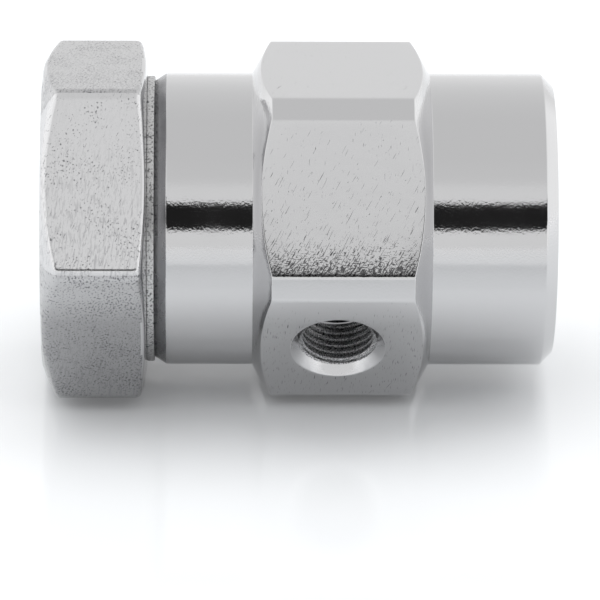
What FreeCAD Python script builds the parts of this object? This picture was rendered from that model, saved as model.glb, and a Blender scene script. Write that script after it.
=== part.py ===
import FreeCAD, Part
import math
import os

import Sketcher

# An in-line sight glass for looking into a pipe: a hexagon body with a pipe socket at one end, a threaded
# spigot at the other, a hexagon cap nut that clamps a glass disc against the spigot's seat, and a small
# threaded purge port in one hexagon flat. X is the sight axis. It points out of the socket's mouth, and the
# window is at the far, negative end. The origin is where the socket's thread begins, just inside the mouth.
# The body lies on a hexagon flat, with Z up. Lengths are in millimetres.

SIZES = [
    # parallel pipe thread in the mouth, 1 1/4 inch size, and the collar around it
    ("socket_major", 41.91),
    ("socket_thread_depth", 1.205),
    ("socket_pitch", 2.309),
    ("socket_thread_length", 19.1),
    ("socket_bore_length", 22.5),
    ("socket_mouth_step", 0.645),
    ("socket_wall", 4.045),
    # outside of the body, from the socket's mouth back to the shoulder under the nut
    ("mouth_collar_length", 21.1),
    ("mouth_chamfer", 2.0),
    ("hex_step", 2.5),
    ("hex_length", 30.3),
    ("hex_corner_trim", 1.2),
    ("nut_collar_length", 16.6),
    ("shoulder_chamfer_length", 2.1),
    ("shoulder_chamfer_depth", 1.35),
    # spigot inside the nut
    ("spigot_step", 2.5),
    ("spigot_pitch", 2.0),
    ("spigot_thread_play", 0.08),
    ("spigot_relief_length", 2.2),
    ("spigot_tip_chamfer", 1.3),
    ("spigot_tip_gap", 1.0),
    ("spigot_wall", 3.5),
    # side port, 1/4 inch size
    ("port_tilt", 30.0),
    ("port_offset", 0.65),
    ("port_major", 13.157),
    ("port_thread_depth", 0.6335),
    ("port_pitch", 1.337),
    ("port_plain_length", 1.8),
    ("port_mouth_step", 1.47),
    # cap nut
    ("nut_length", 17.85),
    ("nut_clocking", 5.0),
    ("nut_corner_trim", 0.5),
    ("nut_face_step", 2.1),
    ("nut_window_chamfer_length", 2.65),
    ("nut_window_chamfer_radius", 9.0),
    ("nut_back_face_slope", 0.8),
    ("nut_back_corner", 1.2),
    ("nut_lip", 3.5),
    ("nut_recess_depth", 0.5),
    ("nut_relief_length", 2.5),
    ("window_bevel", 1.5),
    # washer between the nut and the shoulder
    ("joint_ring_thickness", 1.3),
    ("joint_ring_step", 0.55),
    ("joint_ring_clearance", 0.1),
    ("joint_ring_edge", 0.18),
    # stack clamped between the nut's lip and the seat
    ("seat_width", 3.0),
    ("seat_clearance", 0.15),
    ("window_cover", 3.5),
    ("glass_thickness", 8.0),
    ("glass_edge", 0.6),
    ("gasket_thickness", 1.5),
    ("slip_ring_thickness", 1.0),
]

doc = FreeCAD.newDocument("SightGlass")
sheet = doc.addObject("Spreadsheet::Sheet", "Sizes")
for row, (name, number) in enumerate(SIZES, start=1):
    sheet.set(f"A{row}", name)
    sheet.set(f"B{row}", str(number))
    sheet.setAlias(f"B{row}", name)
doc.recompute()


class Length:
    """A length with the number it has now and the spreadsheet formula that it follows."""

    def __init__(self, number, formula):
        self.number = number
        self.formula = formula

    def combine(self, sign, other, swap=False):
        if not isinstance(other, Length):
            other = Length(float(other), repr(float(other)))
        first, second = (other, self) if swap else (self, other)
        results = {
            "+": first.number + second.number,
            "-": first.number - second.number,
            "*": first.number * second.number,
            "/": first.number / second.number if second.number else 0.0,
        }
        return Length(results[sign], f"({first.formula} {sign} {second.formula})")

    def __add__(self, other):
        return self.combine("+", other)

    def __radd__(self, other):
        return self.combine("+", other, swap=True)

    def __sub__(self, other):
        return self.combine("-", other)

    def __rsub__(self, other):
        return self.combine("-", other, swap=True)

    def __mul__(self, other):
        return self.combine("*", other)

    def __rmul__(self, other):
        return self.combine("*", other, swap=True)

    def __truediv__(self, other):
        return self.combine("/", other)

    def __neg__(self):
        return self.combine("*", -1.0)


class Sheet:
    """Every named size of the spreadsheet, as a Length."""

    def __init__(self, sizes):
        for name, number in sizes:
            setattr(self, name, Length(number, f"Sizes.{name}"))


S = Sheet(SIZES)
ZERO = Length(0.0, "0")
ONE = Length(1.0, "1")


def new_part(label):
    body = doc.addObject("PartDesign::Body", label)
    body.Label = label
    return body


def origin_feature(body, role):
    return next(item for item in body.Origin.OriginFeatures if item.Role == role)


def bind(item, field, length):
    item.setExpression(field, length.formula)


def sketch_on(body, label, role="XY_Plane"):
    sketch = body.newObject("Sketcher::SketchObject", label)
    sketch.AttachmentSupport = (origin_feature(body, role), [""])
    sketch.MapMode = "FlatFace"
    return sketch


def arc_between(start, end, radius):
    """The short arc from start to end that bulges to the left of the way from one to the other."""
    along = end - start
    half = along.Length / 2
    left = FreeCAD.Vector(-along.y, along.x, 0).normalize()
    rise = radius - math.sqrt(radius * radius - half * half)
    middle = (start + end) / 2 + left * rise
    return Part.Arc(end, middle, start)


def outline(sketch, corners):
    """Draw a closed outline. A corner is (x, y), or (x, y, radius) where an arc leaves it, bulging left."""
    spots = [FreeCAD.Vector(corner[0].number, corner[1].number, 0) for corner in corners]
    starts = []
    ends = []
    for index, corner in enumerate(corners):
        following = spots[(index + 1) % len(corners)]
        if len(corner) == 3:
            edge = sketch.addGeometry(arc_between(spots[index], following, corner[2].number), False)
            starts.append((edge, 2))
            ends.append((edge, 1))
            radius = sketch.addConstraint(Sketcher.Constraint("Radius", edge, corner[2].number))
            bind(sketch, f"Constraints[{radius}]", corner[2])
        else:
            edge = sketch.addGeometry(Part.LineSegment(spots[index], following), False)
            starts.append((edge, 1))
            ends.append((edge, 2))
    for index, corner in enumerate(corners):
        sketch.addConstraint(Sketcher.Constraint("Coincident", *ends[index - 1], *starts[index]))
        for kind, length in (("DistanceX", corner[0]), ("DistanceY", corner[1])):
            number = sketch.addConstraint(Sketcher.Constraint(kind, -1, 1, *starts[index], length.number))
            bind(sketch, f"Constraints[{number}]", length)


def turn(body, kind, label, corners, sketch=None, axis=None):
    """Add or cut a full turn of an outline: kind is Revolution or Groove."""
    if sketch is None:
        sketch = sketch_on(body, f"{label}_outline")
    outline(sketch, corners)
    feature = body.newObject(f"PartDesign::{kind}", label)
    feature.Profile = sketch
    feature.ReferenceAxis = axis or (origin_feature(body, "X_Axis"), [""])
    feature.Angle = 360
    sketch.Visibility = False
    doc.recompute()
    return feature


def hexagon(body, label, length, start, clocking):
    """A hexagon bar along X from start, with flats facing straight up and down at no clocking."""
    sketch = sketch_on(body, f"{label}_outline", "YZ_Plane")
    sketch.AttachmentOffset = FreeCAD.Placement(
        FreeCAD.Vector(0, 0, 0), FreeCAD.Rotation(FreeCAD.Vector(0, 0, -1), clocking.number)
    )
    bind(sketch, "AttachmentOffset.Base.z", start)
    bind(sketch, "AttachmentOffset.Rotation.Angle", clocking)
    corners = []
    for corner in range(6):
        angle = math.radians(60 * corner)
        reach = flat * CORNER_RATIO
        corners.append((reach * math.cos(angle), reach * math.sin(angle)))
    outline(sketch, corners)
    bar = body.newObject("PartDesign::Pad", label)
    bar.Profile = sketch
    bind(bar, "Length", length)
    sketch.Visibility = False
    doc.recompute()
    return bar


def thread(body, label, start, pitch, length, root, crest, root_half, crest_half, sketch=None, axis=None):
    """Cut a right-hand thread groove, from start on, along the way that the axis' coordinate falls."""
    if sketch is None:
        sketch = sketch_on(body, f"{label}_outline")
    upright = axis is not None
    points = [(start - root_half, root), (start + root_half, root), (start + crest_half, crest),
              (start - crest_half, crest)]
    if upright:
        points = [(radius, along) for along, radius in points]
    outline(sketch, points)
    groove = body.newObject("PartDesign::SubtractiveHelix", label)
    groove.Profile = sketch
    groove.ReferenceAxis = axis or (origin_feature(body, "X_Axis"), [""])
    groove.Mode = "pitch-height-angle"
    groove.Reversed = True
    bind(groove, "Pitch", pitch)
    bind(groove, "Height", length)
    sketch.Visibility = False
    doc.recompute()
    return groove


# ---- radii, from the pipe thread outwards and from the spigot inwards --------------------------------
TAN_30 = math.tan(math.radians(30))
TAN_WHITWORTH = math.tan(math.radians(27.5))
CORNER_RATIO = 2 / math.sqrt(3)

collar = S.socket_major / 2 + S.socket_wall
flat = collar + S.hex_step
hex_corner = flat * CORNER_RATIO - S.hex_corner_trim
nut_corner = flat * CORNER_RATIO - S.nut_corner_trim
beyond = flat * 2
spigot = collar - S.spigot_step
glass = spigot - S.spigot_wall
sight_bore = glass - S.seat_width
window = glass - S.window_cover

# Both pipe threads have the 55 degree form, with a root a sixth of a pitch wide. Their depth leaves wide
# crests, as in a hole drilled a little over tapping size.
socket_crest = S.socket_major / 2 - S.socket_thread_depth
socket_mouth = S.socket_major / 2 + S.socket_mouth_step
port_crest = S.port_major / 2 - S.port_thread_depth
port_mouth = S.port_major / 2 + S.port_mouth_step

# The metric form of the spigot's thread, kept apart by the play on both flanks and by a tenth of the pitch
# at crest and root.
pitch_line = spigot - S.spigot_pitch * 0.32476
male_crest = spigot - 0.1
male_root = male_crest - S.spigot_pitch * 0.6
female_root = male_crest + S.spigot_pitch * 0.1
female_crest = male_root + S.spigot_pitch * 0.1

# ---- lengths along the sight axis --------------------------------------------------------------------
# Every sub-part is drawn from the mouth face back, or from its own left face, and then placed so that the
# origin is at the inner edge of the mouth's chamfer.
body_length = S.mouth_collar_length + S.hex_length + S.nut_collar_length
overall_length = body_length + S.joint_ring_thickness + S.nut_length
mouth_face = socket_mouth - socket_crest
window_face = mouth_face - overall_length
stack = S.slip_ring_thickness + S.gasket_thickness * 2 + S.glass_thickness
seat = S.nut_lip + stack - overall_length
spigot_tip = S.nut_lip + S.nut_recess_depth + S.spigot_tip_gap - overall_length
pilot_end = 0.1 - S.joint_ring_thickness - body_length
relief_end = pilot_end - S.spigot_relief_length

# ---- body --------------------------------------------------------------------------------------------
body = new_part("body")
bind(body, "Placement.Base.x", mouth_face)
hex_near = -S.mouth_collar_length
hex_far = hex_near - S.hex_length
hex_chamfer = (hex_corner - collar) * TAN_30

hexagon(body, "body_hexagon", S.hex_length, hex_far, ZERO)
turn(body, "Groove", "body_hexagon_chamfers", [
    (hex_near, collar),
    (hex_near + 1, beyond),
    (hex_far - 1, beyond),
    (hex_far, collar),
    (hex_far + hex_chamfer, hex_corner),
    (hex_near - hex_chamfer, hex_corner),
])

relief = male_root - 0.3
turn(body, "Revolution", "body_turning", [
    (ZERO, ZERO),
    (ZERO, collar - S.mouth_chamfer),
    (-S.mouth_chamfer, collar),
    (S.shoulder_chamfer_length - body_length, collar),
    (-body_length, collar - S.shoulder_chamfer_depth),
    (-body_length, spigot),
    (pilot_end, spigot),
    (pilot_end, relief),
    (relief_end, relief),
    (relief_end, male_crest),
    (spigot_tip + S.spigot_tip_chamfer, male_crest),
    (spigot_tip, male_crest - S.spigot_tip_chamfer),
    (spigot_tip, ZERO),
])

seat_wall = glass + S.seat_clearance
turn(body, "Groove", "body_bore", [
    (ONE, ZERO),
    (ONE, socket_mouth + 1),
    (-mouth_face, socket_crest),
    (-S.socket_bore_length, socket_crest),
    (sight_bore - socket_crest - S.socket_bore_length, sight_bore),
    (seat, sight_bore),
    (seat, seat_wall),
    (spigot_tip - 1, seat_wall),
    (spigot_tip - 1, ZERO),
])


def port_sketch(label):
    """A sketch whose upright axis is the port's. It meets the sight axis just behind the hexagon's middle."""
    sketch = sketch_on(body, label)
    sketch.AttachmentOffset = FreeCAD.Placement(
        FreeCAD.Vector(0, 0, 0), FreeCAD.Rotation(FreeCAD.Vector(1, 0, 0), S.port_tilt.number)
    )
    bind(sketch, "AttachmentOffset.Base.x", hex_near - S.hex_length / 2 - S.port_offset)
    bind(sketch, "AttachmentOffset.Rotation.Angle", S.port_tilt)
    return sketch


port = port_sketch("port_bore_outline")
turn(body, "Groove", "port_bore", [
    (ZERO, ZERO),
    (port_crest, ZERO),
    (port_crest, port_mouth - port_crest - flat),
    (port_mouth + 1, -flat - 1),
    (ZERO, -flat - 1),
], port, (port, ["V_Axis"]))

spigot_thread_start = (pilot_end + relief_end) / 2
thread(
    body, "spigot_thread",
    spigot_thread_start, S.spigot_pitch, spigot_thread_start - spigot_tip + S.spigot_pitch,
    male_root, male_crest + 0.1,
    S.spigot_pitch / 4 + S.spigot_thread_play - (pitch_line - male_root) * TAN_30,
    S.spigot_pitch / 4 + S.spigot_thread_play + (male_crest + 0.1 - pitch_line) * TAN_30,
)
thread(
    body, "socket_thread",
    S.socket_pitch, S.socket_pitch, S.socket_thread_length + S.socket_pitch / 2,
    S.socket_major / 2, socket_crest - S.socket_pitch / 12,
    S.socket_pitch / 12,
    S.socket_pitch / 12 + (S.socket_major / 2 - socket_crest + S.socket_pitch / 12) * TAN_WHITWORTH,
)
port = port_sketch("port_thread_outline")
port_thread_start = -sight_bore - S.port_plain_length
thread(
    body, "port_thread",
    port_thread_start, S.port_pitch, flat + port_thread_start + S.port_pitch,
    S.port_major / 2, port_crest - S.port_pitch / 12,
    S.port_pitch / 12,
    S.port_pitch / 12 + (S.port_major / 2 - port_crest + S.port_pitch / 12) * TAN_WHITWORTH,
    port, (port, ["V_Axis"]),
)

# ---- cap nut, drawn from its window face -------------------------------------------------------------
cap_nut = new_part("cap_nut")
bind(cap_nut, "Placement.Base.x", window_face)
nut_face = flat - S.nut_face_step
hexagon(cap_nut, "nut_hexagon", S.nut_length, ZERO, S.nut_clocking)
turn(cap_nut, "Groove", "nut_hexagon_chamfers", [
    (ZERO, nut_face, S.nut_window_chamfer_radius),
    (S.nut_window_chamfer_length, nut_corner),
    (S.nut_length - S.nut_back_face_slope - S.nut_back_corner, nut_corner, S.nut_back_corner * 1.05),
    (S.nut_length - S.nut_back_face_slope, nut_corner - S.nut_back_corner),
    (S.nut_length, nut_face),
    (S.nut_length + 1, beyond),
    (-ONE, beyond),
])
recess = glass + S.seat_clearance * 1.5
recess_end = S.nut_lip + S.nut_recess_depth
nut_relief = female_root + 0.35
nut_relief_end = recess_end + S.nut_relief_length
turn(cap_nut, "Groove", "nut_bore", [
    (-ONE, ZERO),
    (-ONE, window + S.window_bevel + 1),
    (S.window_bevel, window),
    (S.nut_lip, window),
    (S.nut_lip, recess),
    (recess_end, recess),
    (recess_end, nut_relief),
    (nut_relief_end, nut_relief),
    (nut_relief_end, female_crest),
    (S.nut_length + female_crest - nut_relief, female_crest),
    (S.nut_length + 1, nut_relief + 1),
    (S.nut_length + 1, ZERO),
])
# The nut's groove is half a pitch on from the spigot's, so that each ridge stands in the middle of a groove.
nut_thread_start = spigot_thread_start + overall_length + S.spigot_pitch * 1.5
thread(
    cap_nut, "nut_thread",
    nut_thread_start, S.spigot_pitch, nut_thread_start - (recess_end + nut_relief_end) / 2,
    female_root, female_crest - 0.15,
    S.spigot_pitch / 4 - (female_root - pitch_line) * TAN_30,
    S.spigot_pitch / 4 + (pitch_line - female_crest + 0.15) * TAN_30,
)

# ---- washer between the nut and the shoulder ---------------------------------------------------------
joint_ring = new_part("joint_ring")
bind(joint_ring, "Placement.Base.x", mouth_face - body_length - S.joint_ring_thickness)
ring_outside = collar - S.joint_ring_step
ring_inside = spigot + S.joint_ring_clearance
turn(joint_ring, "Revolution", "joint_ring_turning", [
    (ZERO, ring_inside),
    (ZERO, ring_outside - S.joint_ring_edge),
    (S.joint_ring_edge, ring_outside),
    (S.joint_ring_thickness - S.joint_ring_edge, ring_outside),
    (S.joint_ring_thickness, ring_outside - S.joint_ring_edge),
    (S.joint_ring_thickness, ring_inside),
])


# ---- stack that the nut clamps, from its lip inwards -------------------------------------------------
def clamped_ring(label, start, thickness, inside):
    """A plain ring as wide as the glass, at a distance from the nut's window face."""
    ring = new_part(label)
    bind(ring, "Placement.Base.x", window_face + start)
    turn(ring, "Revolution", f"{label}_turning", [
        (ZERO, inside),
        (ZERO, glass),
        (thickness, glass),
        (thickness, inside),
    ])
    return ring


cushion_start = S.nut_lip + S.slip_ring_thickness
glass_start = cushion_start + S.gasket_thickness
glass_end = glass_start + S.glass_thickness
slip_ring = clamped_ring("slip_ring", S.nut_lip, S.slip_ring_thickness, window)
cushion_gasket = clamped_ring("cushion_gasket", cushion_start, S.gasket_thickness, window)
seat_gasket = clamped_ring("seat_gasket", glass_end, S.gasket_thickness, sight_bore)

glass_disc = new_part("glass_disc")
bind(glass_disc, "Placement.Base.x", window_face + glass_start)
turn(glass_disc, "Revolution", "glass_disc_turning", [
    (ZERO, ZERO),
    (ZERO, glass - S.glass_edge),
    (S.glass_edge, glass),
    (S.glass_thickness - S.glass_edge, glass),
    (S.glass_thickness, glass - S.glass_edge),
    (S.glass_thickness, ZERO),
])

doc.recompute()

# ---- check every feature, then write one solid per sub-part ------------------------------------------
for item in doc.Objects:
    if "Invalid" in item.State or "Error" in item.State:
        raise RuntimeError(f"{item.Label} did not build: {item.State}")

os.makedirs("parts", exist_ok=True)
for part in (body, cap_nut, joint_ring, glass_disc, seat_gasket, cushion_gasket, slip_ring):
    shape = part.Shape
    if shape.isNull() or not shape.isValid() or len(shape.Solids) != 1:
        raise RuntimeError(f"{part.Label} is not one sound solid")
    shape.exportStep(os.path.join("parts", f"{part.Label}.step"))
    print(part.Label, round(shape.Volume, 1), shape.BoundBox)
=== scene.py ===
import math

import bmesh
import bpy
from mathutils import Matrix, Vector


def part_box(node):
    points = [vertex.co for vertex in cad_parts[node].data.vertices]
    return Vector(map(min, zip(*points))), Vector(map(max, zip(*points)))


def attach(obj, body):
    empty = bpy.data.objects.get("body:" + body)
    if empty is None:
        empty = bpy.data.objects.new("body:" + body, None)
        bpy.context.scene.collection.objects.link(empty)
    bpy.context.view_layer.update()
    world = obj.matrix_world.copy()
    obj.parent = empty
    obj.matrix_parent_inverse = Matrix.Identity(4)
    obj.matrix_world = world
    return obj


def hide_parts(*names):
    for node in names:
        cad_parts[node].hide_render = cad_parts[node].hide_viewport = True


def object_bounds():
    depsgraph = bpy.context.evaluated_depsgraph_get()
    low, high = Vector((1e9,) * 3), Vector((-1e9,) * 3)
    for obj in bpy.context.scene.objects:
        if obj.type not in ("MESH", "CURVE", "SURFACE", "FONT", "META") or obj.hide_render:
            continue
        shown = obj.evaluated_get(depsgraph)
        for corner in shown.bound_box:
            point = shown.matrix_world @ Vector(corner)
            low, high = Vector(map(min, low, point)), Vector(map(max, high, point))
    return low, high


# An in-line sight glass: a turned and milled body with a pipe socket, a threaded purge port in one of its
# flats, and a tumbled hexagon nut that holds a round glass. All of the metal is nickel-plated steel.
# The frame is in metres, with X along the sight axis. Sizes below are in millimetres, turned to metres by MM.

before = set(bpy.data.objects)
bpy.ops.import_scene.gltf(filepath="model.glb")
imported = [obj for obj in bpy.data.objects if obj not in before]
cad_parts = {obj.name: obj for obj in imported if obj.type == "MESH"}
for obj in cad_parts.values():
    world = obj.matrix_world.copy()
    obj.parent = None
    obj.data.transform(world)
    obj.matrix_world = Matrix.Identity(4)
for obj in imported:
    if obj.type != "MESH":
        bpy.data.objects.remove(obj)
cad_low, cad_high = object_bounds()

MM = 0.001

# ---- sizes of the body, from the socket's mouth back ---------------------------------------------------
COLLAR = 25.0
FLAT = 27.5
CORNER_RATIO = 2 / math.sqrt(3)
BODY_CORNER = FLAT * CORNER_RATIO - 1.2
HEX_NEAR = -21.1
HEX_FAR = -51.4
SHOULDER = -68.0
MOUTH_CHAMFER = 2.0
SHOULDER_CHAMFER = 2.1
SHOULDER_DEPTH = 1.35
TAN_30 = math.tan(math.radians(30))
HEX_CHAMFER = (BODY_CORNER - COLLAR) * TAN_30
SOCKET_ROOT = 20.955
SOCKET_CREST = 19.75
SOCKET_MOUTH = 21.6
SOCKET_PITCH = 2.309
SOCKET_THREAD = 19.1
SOCKET_BORE = 22.5
SIGHT_BORE = 16.0
SPIGOT = 22.5
SPIGOT_PITCH = 2.0
SPIGOT_CREST = SPIGOT - 0.1
SPIGOT_ROOT = SPIGOT_CREST - 0.6 * SPIGOT_PITCH
PILOT = 1.2
RELIEF = 2.2
SEAT_WALL = 19.15

# ---- sizes of the side port, along its own axis --------------------------------------------------------
HEX_MIDDLE = (HEX_NEAR + HEX_FAR) / 2
PORT_X = HEX_MIDDLE - 0.65
PORT_TILT = math.radians(30)
PORT_ROOT = 6.5785
PORT_CREST = 5.945
PORT_MOUTH = 8.05
PORT_PITCH = 1.337
PORT_PLAIN = 1.8

# ---- sizes of the nut, from its window face ------------------------------------------------------------
NUT_LENGTH = 17.85
NUT_CLOCKING = math.radians(5)
NUT_CORNER = FLAT * CORNER_RATIO - 0.5
NUT_FACE = FLAT - 2.1
NUT_CHAMFER = 2.65
NUT_BACK_SLOPE = 0.8
NUT_BACK_CORNER = 1.2
NUT_LIP = 3.5
NUT_RECESS = 4.0
NUT_RELIEF = 6.5
NUT_THREAD_START = 6.85
NUT_ROOT = SPIGOT_CREST + 0.1 * SPIGOT_PITCH
NUT_CREST = SPIGOT_ROOT + 0.1 * SPIGOT_PITCH
WINDOW = 15.5

RING_THICKNESS = 1.3
RING_OUTSIDE = 24.45
RING_INSIDE = 22.6

# Where the frame has the body's mouth face, the nut's window face, the glass seat, the spigot's tip and
# the floor.
MOUTH_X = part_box("body")[1].x / MM
WINDOW_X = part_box("cap_nut")[0].x / MM
SEAT_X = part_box("seat_gasket")[1].x / MM
TIP_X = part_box("body")[0].x / MM
FLOOR_Z = cad_low.z

# Edges that turn by more than this stay sharp.
SHARP = math.radians(35)


# ---- node trees ----------------------------------------------------------------------------------------
def add(tree, kind, inputs=None, **settings):
    """One node, with its settings made and its inputs linked or filled. A node given
    as an input means its first output."""
    node = tree.nodes.new(kind)
    for name, value in settings.items():
        setattr(node, name, value)
    for socket, value in (inputs or {}).items():
        if isinstance(value, bpy.types.Node):
            value = value.outputs[0]
        if isinstance(value, bpy.types.NodeSocket):
            tree.links.new(value, node.inputs[socket])
        else:
            node.inputs[socket].default_value = value
    return node


def new_tree(name, inputs):
    """An empty geometry tree with a Geometry input and the named inputs, and its group input node."""
    tree = bpy.data.node_groups.new(name, "GeometryNodeTree")
    tree.interface.new_socket("Geometry", in_out="INPUT", socket_type="NodeSocketGeometry")
    tree.interface.new_socket("Geometry", in_out="OUTPUT", socket_type="NodeSocketGeometry")
    for label, kind, value in inputs:
        socket = tree.interface.new_socket(label, in_out="INPUT", socket_type=kind)
        if value is not None:
            socket.default_value = value
    return tree, tree.nodes.new("NodeGroupInput").outputs


def wrapped_grid(tree, given):
    """The start of both trees: a grid with a column for each point of the outline and a row for each step.

    Returns the grid, the outline point that each of its vertices stands for, and that vertex's step.
    """
    count = add(tree, "GeometryNodeAttributeDomainSize", {0: given["Geometry"]})
    columns = add(tree, "ShaderNodeMath", {0: count.outputs["Point Count"], 1: 1.0}, operation="ADD")
    rows = add(tree, "ShaderNodeMath", {0: given["Steps"], 1: 1.0}, operation="ADD")
    grid = add(tree, "GeometryNodeMeshGrid", {"Vertices X": columns, "Vertices Y": rows})
    index = tree.nodes.new("GeometryNodeInputIndex")
    ratio = add(tree, "ShaderNodeMath", {0: index, 1: rows}, operation="DIVIDE")
    column = add(tree, "ShaderNodeMath", {0: ratio}, operation="FLOOR")
    step = add(tree, "ShaderNodeMath", {0: index, 1: rows}, operation="MODULO")
    wrapped = add(tree, "ShaderNodeMath", {0: column, 1: count.outputs["Point Count"]}, operation="MODULO")
    place = tree.nodes.new("GeometryNodeInputPosition")
    sample = add(
        tree, "GeometryNodeSampleIndex",
        {"Geometry": given["Geometry"], "Value": place, "Index": wrapped}, data_type="FLOAT_VECTOR",
    )
    return grid, add(tree, "ShaderNodeSeparateXYZ", {0: sample}).outputs, step


def finish_tree(tree, geometry, finishes):
    """The end of both trees: closed seams, smooth shading, real geometry and its materials."""
    welded = add(tree, "GeometryNodeMergeByDistance", {"Geometry": geometry, "Distance": 1e-6})
    smooth = add(tree, "GeometryNodeSetShadeSmooth", {"Geometry": welded})
    real = add(tree, "GeometryNodeRealizeInstances", {"Geometry": smooth})
    dressed = real
    for finish in finishes:
        dressed = add(tree, "GeometryNodeSetMaterial", {"Geometry": dressed, **finish})
    tree.links.new(dressed.outputs[0], tree.nodes.new("NodeGroupOutput").inputs[0])


def turned_bar_tree():
    """A turned part with six milled flats: the outline goes round the X axis, and where it stands out past
    the flats it is pressed in to them, with its end chamfers following as under a milling cutter."""
    tree, given = new_tree("Turned Bar", [
        ("Steps", "NodeSocketInt", 576),
        ("Flat Distance", "NodeSocketFloat", 1.0),
        ("Corner Radius", "NodeSocketFloat", 2.0),
        ("Base Radius", "NodeSocketFloat", 1.9),
        ("Corner Softness", "NodeSocketFloat", 0.0003),
        ("Clocking", "NodeSocketFloat", 0.0),
        ("Middle", "NodeSocketFloat", 0.0),
        ("Half Length", "NodeSocketFloat", 1.0),
        ("Low Chamfer", "NodeSocketFloat", 0.577),
        ("High Chamfer", "NodeSocketFloat", 0.577),
        ("Surface Relief", "NodeSocketFloat", 0.0),
        ("Relief Grain", "NodeSocketFloat", 1000.0),
        ("Turned Finish", "NodeSocketMaterial", None),
        ("Milled Finish", "NodeSocketMaterial", None),
    ])
    given = {socket.name: socket for socket in given}
    grid, outline, step = wrapped_grid(tree, given)

    # Where in its sixth of a turn a step lies: 0 at a flat's middle and 1 at a corner, signed. The curve
    # crowds the steps around a flat's edges, where the surface bends most.
    sixth = add(tree, "ShaderNodeMath", {0: given["Steps"], 1: 6.0}, operation="DIVIDE")
    sector = add(tree, "ShaderNodeMath", {0: step, 1: sixth}, operation="DIVIDE")
    whole = add(tree, "ShaderNodeMath", {0: sector}, operation="FLOOR")
    part = add(tree, "ShaderNodeMath", {0: sector, 1: whole}, operation="SUBTRACT")
    signed = add(tree, "ShaderNodeMath", {0: part, 1: 2.0, 2: -1.0}, operation="MULTIPLY_ADD")
    size = add(tree, "ShaderNodeMath", {0: signed}, operation="ABSOLUTE")
    sign = add(tree, "ShaderNodeMath", {0: signed}, operation="SIGN")
    crowded = add(tree, "ShaderNodeFloatCurve", {"Value": size})
    curve = crowded.mapping.curves[0]
    for where, (across, angle) in enumerate(((0.0, 0.0), (0.3, 0.83), (0.78, 0.94), (1.0, 1.0))):
        if where in (1, 2):
            point = curve.points.new(0.5, 0.5)
        else:
            point = curve.points[0 if where == 0 else -1]
        point.location = (across, angle)
        point.handle_type = "VECTOR"
    crowded.mapping.update()
    turn = add(tree, "ShaderNodeMath", {0: crowded, 1: sign}, operation="MULTIPLY")
    fold = add(tree, "ShaderNodeMath", {0: turn, 1: math.pi / 6}, operation="MULTIPLY")
    centre = add(tree, "ShaderNodeMath", {0: whole, 1: math.pi / 3, 2: math.pi / 6}, operation="MULTIPLY_ADD")
    around = add(tree, "ShaderNodeMath", {0: centre, 1: fold}, operation="ADD")
    angle = add(tree, "ShaderNodeMath", {0: around, 1: given["Clocking"]}, operation="SUBTRACT")

    # How far out the bar reaches at that angle, and how far the outline drops to meet it.
    cosine = add(tree, "ShaderNodeMath", {0: fold}, operation="COSINE")
    plane = add(tree, "ShaderNodeMath", {0: given["Flat Distance"], 1: cosine}, operation="DIVIDE")
    reach = add(
        tree, "ShaderNodeMath", {0: plane, 1: given["Corner Radius"], 2: given["Corner Softness"]},
        operation="SMOOTH_MIN",
    )
    over = add(tree, "ShaderNodeMath", {0: given["Corner Radius"], 1: reach}, operation="SUBTRACT")
    hump = add(
        tree, "ShaderNodeMapRange",
        {"Value": outline["Y"], "From Min": given["Base Radius"], "From Max": given["Corner Radius"]},
    )
    drop = add(tree, "ShaderNodeMath", {0: over, 1: hump}, operation="MULTIPLY")
    radius = add(tree, "ShaderNodeMath", {0: outline["Y"], 1: drop}, operation="SUBTRACT")
    from_middle = add(tree, "ShaderNodeMath", {0: outline["X"], 1: given["Middle"]}, operation="SUBTRACT")
    side = add(tree, "ShaderNodeMath", {0: from_middle, 1: given["Half Length"]}, operation="DIVIDE")
    slope = add(
        tree, "ShaderNodeMapRange",
        {"Value": side, "From Min": -1.0, "From Max": 1.0, "To Max": given["High Chamfer"],
         "To Min": add(tree, "ShaderNodeMath", {0: given["Low Chamfer"], 1: -1.0}, operation="MULTIPLY")},
    )
    along = add(tree, "ShaderNodeMath", {0: slope, 1: drop, 2: outline["X"]}, operation="MULTIPLY_ADD")

    y = add(tree, "ShaderNodeMath", {0: angle}, operation="COSINE")
    y = add(tree, "ShaderNodeMath", {0: radius, 1: y}, operation="MULTIPLY")
    z = add(tree, "ShaderNodeMath", {0: angle}, operation="SINE")
    z = add(tree, "ShaderNodeMath", {0: radius, 1: z}, operation="MULTIPLY")
    place = add(tree, "ShaderNodeCombineXYZ", {"X": along, "Y": y, "Z": z})
    bar = add(tree, "GeometryNodeSetPosition", {"Geometry": grid, "Position": place})

    # Rough pressed metal gets a fine relief; a relief of nothing leaves the surface as turned.
    grain = add(tree, "ShaderNodeTexNoise", {"Scale": given["Relief Grain"], "Detail": 3.0})
    centred = add(tree, "ShaderNodeMath", {0: grain, 1: 0.5}, operation="SUBTRACT")
    height = add(tree, "ShaderNodeMath", {0: centred, 1: given["Surface Relief"]}, operation="MULTIPLY")
    offset = add(tree, "ShaderNodeVectorMath",
                 {0: tree.nodes.new("GeometryNodeInputNormal"), "Scale": height}, operation="SCALE")
    worn = add(tree, "GeometryNodeSetPosition", {"Geometry": bar, "Offset": offset})

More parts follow.
